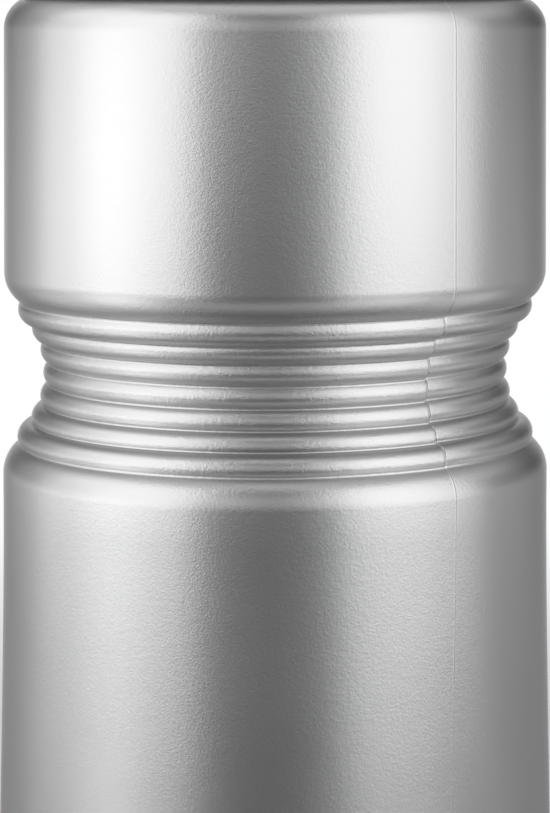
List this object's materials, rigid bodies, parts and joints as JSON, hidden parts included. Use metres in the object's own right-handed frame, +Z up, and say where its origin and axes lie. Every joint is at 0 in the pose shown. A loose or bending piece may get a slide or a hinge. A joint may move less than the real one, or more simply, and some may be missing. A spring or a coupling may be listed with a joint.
{
  "type": "bicycle water bottle",
  "caption": "Squeezable round bicycle bottle with a ribbed grip waist, a fluted screw cap and a push-pull spout with a soft mouthpiece.",
  "frame": {"origin": "centre of the foot, on the plane that the bottle stands on", "axes": "+Z up along the bottle's axis, towards the spout; +X and +Y across it"},
  "size_m": [0.074, 0.074, 0.2111],
  "materials": {
    "bottle": "silver-grey pigmented polyethylene with a fine moulded grain",
    "cap": "black moulded polypropylene, satin",
    "seal": "dark elastomer",
    "valve": "grey moulded polypropylene",
    "mouthpiece": "soft matt elastomer"
  },
  "bodies": {
    "bottle": {"bottle_body": "bottle"},
    "seal": {"cap_seal": "seal"},
    "cap": {"screw_cap": "cap", "valve_plug": "valve", "tower_seal": "seal"},
    "spout": {"pull_spout": "valve", "mouthpiece": "mouthpiece"}
  },
  "joints": [
    {"name": "cap_lift", "type": "slide", "parent": "bottle", "child": "seal", "axis": [0, 0, 1], "range_m": [0, 0.0076]},
    {"name": "cap_turn", "type": "hinge", "parent": "seal", "child": "cap", "pos_m": [0, 0, 0.17], "axis": [0, 0, 1], "range_deg": [0, 540]},
    {"name": "spout_pull", "type": "slide", "parent": "cap", "child": "spout", "axis": [0, 0, 1], "range_m": [0, 0.006]}
  ],
  "couplings": [
    {"joint": "cap_lift", "follows": "cap_turn", "m_per_rad": 0.00079577}
  ]
}
